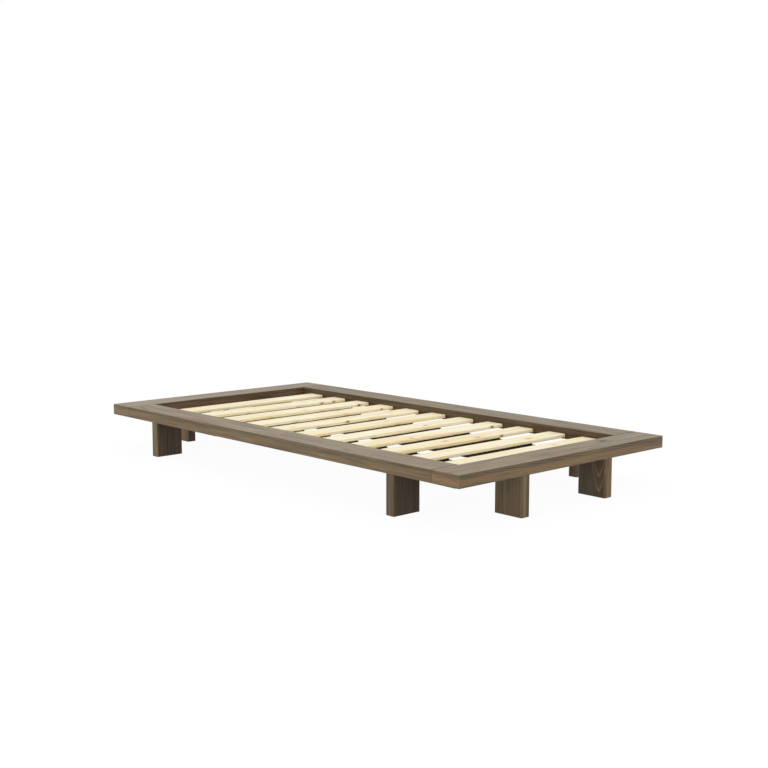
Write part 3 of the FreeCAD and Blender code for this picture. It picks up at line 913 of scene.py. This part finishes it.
# Fasteners: hexagon heads with a turned chamfer, and a rolled thread
fastenerValues = {
    "sides": 36,
    "chamferShare": 0.95,  # of the width across flats
    "chamferSlope": 0.58,
    "centreShare": 0.2,  # the flat in the middle of the head, and the least radius at the tip
    "runOut": 0.0005,  # plain shank just before the thread
    "turnRows": 6,  # rows of corners in one turn of the thread
    "pointShare": 0.35,  # of the thread's radius, at the tip
    "leg_screws": {"thread": 0.032, "pitch": 0.0032, "depth": 0.0011, "point": 0.006, "head": 0.0053},
    "corner_bolts": {"thread": 0.040, "pitch": 0.00125, "depth": 0.0006, "point": 0.0009, "head": 0.0053},
    "bright": screenColour(212, 214, 216),
    "dull": screenColour(170, 172, 172),
    "straw": screenColour(204, 196, 168),
    "spangleScale": 450.0,
    "dullShare": 0.6,
    "tarnishNoise": (60, 4, 0.6),
    "tarnishSpan": (0.48, 0.72),
    "tarnishShare": 0.5,
    "scratchNoise": (1600, 2),
    "bump": (0.15, 0.0001),
    "roughness": (0.26, 0.1, 0.16),  # at least, and what dull spangles and tarnish add
}


def zinc():
    values = fastenerValues
    material, graph = newFinish("zincPlate")
    spot = graph.node("ShaderNodeTexCoord", output="Object")
    spangle = graph.node(
        "ShaderNodeTexVoronoi", None, {"Vector": spot, "Scale": values["spangleScale"]}, "Color")
    tone = graph.node("ShaderNodeSeparateColor", None, {"Color": spangle}, "Red")
    tarnish = graph.noise(spot, *values["tarnishNoise"])
    scratch = graph.noise(spot, *values["scratchNoise"])
    colour = graph.mixColour(tone * values["dullShare"], values["bright"], values["dull"])
    veil = graph.fade(tarnish, *values["tarnishSpan"]) * values["tarnishShare"]
    colour = graph.mixColour(veil, colour, values["straw"])
    least, dulled, tarnished = values["roughness"]
    graph.surface({
        "Base Color": colour,
        "Metallic": 1.0,
        "Roughness": least + tone * dulled + tarnish * tarnished,
        "Normal": graph.bump(scratch, *values["bump"]),
    })
    return material


def turnFastener(shape, points, axis, values):
    low, high = boxOf(points)
    middle = (low + high) / 2
    first, second = [side for side in range(3) if side != axis]
    near = ownValues["near"]
    spread = []
    for end in (low[axis], high[axis]):
        rim = [point for point in points if abs(point[axis] - end) < near]
        spread.append(max(abs(point[first] - middle[first]) for point in rim))
    fromLow = spread[0] > spread[1]  # whether the head is at the low end
    rod = min(spread)
    flats = min(high[first] - low[first], high[second] - low[second])
    if high[first] - low[first] > flats + near:  # the hexagon's corners point along the wider way
        cornerWay, flatWay = first, second
    else:
        cornerWay, flatWay = second, first
    sides = fastenerValues["sides"]
    angles = [2 * math.pi * index / sides for index in range(sides)]

    def ring(radii, rises):  # points round the axis, each at its radius and its rise from the head's face
        row = []
        for angle, radius, rise in zip(angles, radii, rises):
            spot = Vector(middle)
            spot[cornerWay] += radius * math.cos(angle)
            spot[flatWay] += radius * math.sin(angle)
            spot[axis] = low[axis] + rise if fromLow else high[axis] - rise
            row.append(spot)
        return row

    def hoop(radius, rise):
        return ring([radius] * sides, [rise] * sides)

    head = values["head"]
    inner = flats / 2 * fastenerValues["chamferShare"]
    hexRadii = [flats / 2 / math.cos((angle % (math.pi / 3)) - math.pi / 6) for angle in angles]
    chamfer = [(radius - inner) * fastenerValues["chamferSlope"] for radius in hexRadii]
    rows = [hoop(inner * fastenerValues["centreShare"], 0), hoop(inner, 0)]
    rows += [ring(hexRadii, chamfer), ring(hexRadii, [head] * sides)]
    total = high[axis] - low[axis]
    threadStart = total - values["thread"]
    rows += [hoop(rod, head), hoop(rod, threadStart - fastenerValues["runOut"])]
    turnRows = fastenerValues["turnRows"]
    steps = round(values["thread"] / values["pitch"] * turnRows)
    for step in range(steps + 1):
        rise = threadStart + values["thread"] * step / steps
        taper = between(min(1, (total - rise) / values["point"]), fastenerValues["pointShare"], 1)
        runIn = min(1, step / turnRows)
        radii = []
        for angle in angles:
            turn = (rise / values["pitch"] - angle / (2 * math.pi)) % 1
            crest = abs(2 * turn - 1)
            core = rod - values["depth"] * (1 - crest) * runIn
            radii.append(max(core * taper, rod * fastenerValues["centreShare"]))
        rows.append(ring(radii, [rise] * sides))
    skin(shape, rows)


def makeFasteners(name, node, axis, material):
    shape = bmesh.new()
    for points in solidsOf(node):
        turnFastener(shape, points, axis, fastenerValues[node])
    piece = addPiece(name, shape, "frame", material)
    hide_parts(node)


# Beech tongues in the corners: close pale grain with short dark flecks
beechValues = {
    "pale": screenColour(222, 190, 152),
    "pink": screenColour(206, 166, 126),
    "fleck": screenColour(150, 108, 74),
    "grainRun": 0.1,  # runs shorten the way along the grain to draw a figure out
    "fleckRun": 0.18,
    "bandNoise": (60, 3),
    "bandSpan": (0.35, 0.65),
    "fleckNoise": (900, 1),
    "fleckSpan": (0.62, 0.72),
    "fleckShare": 0.7,
    "poreNoise": (1500, 1),
    "bump": (0.2, 0.0003),
    "roughness": (0.5, 0.7),
    "gloss": 0.3,
}


def beech():
    values = beechValues
    material, graph = newFinish("planedBeech")
    x, y, z = graph.parts(graph.node("ShaderNodeTexCoord", output="Object"))
    drawn = graph.point(x * values["grainRun"], y, z)
    band = graph.noise(drawn, *values["bandNoise"])
    pore = graph.noise(drawn, *values["poreNoise"])
    fleck = graph.noise(graph.point(x * values["fleckRun"], y, z), *values["fleckNoise"])
    colour = graph.mixColour(graph.fade(band, *values["bandSpan"]), values["pale"], values["pink"])
    flecks = graph.fade(fleck, *values["fleckSpan"]) * values["fleckShare"]
    colour = graph.mixColour(flecks, colour, values["fleck"])
    graph.surface({
        "Base Color": colour,
        "Roughness": between(pore, *values["roughness"]),
        "Specular IOR Level": values["gloss"],
        "Normal": graph.bump(pore, *values["bump"]),
    })
    return material


makeCamera()
makeFloor()
makeLight()
print("camera, floor and light set")
dressBoards()
print("boards finished")
slats = [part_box(name) for name in slatNames]
plate = zinc()
strapCloth = webbing()
weaveStrap("webbing_front", "slat_strap_front", strapCloth, slats)
weaveStrap("webbing_back", "slat_strap_back", strapCloth, slats)
stapleStraps(slats, plate)
print("straps woven and stapled")
padRubber = rubber()
ribPads("ribbed_pads_front", "slat_pads_front", padRubber)
ribPads("ribbed_pads_back", "slat_pads_back", padRubber)
print("pads ribbed")
makeFasteners("threaded_leg_screws", "leg_screws", 2, plate)
makeFasteners("threaded_corner_bolts", "corner_bolts", 0, plate)
dress("corner_plates", plate)
dress("corner_nuts", plate)
dress("corner_tongues", beech())
print("fasteners turned")
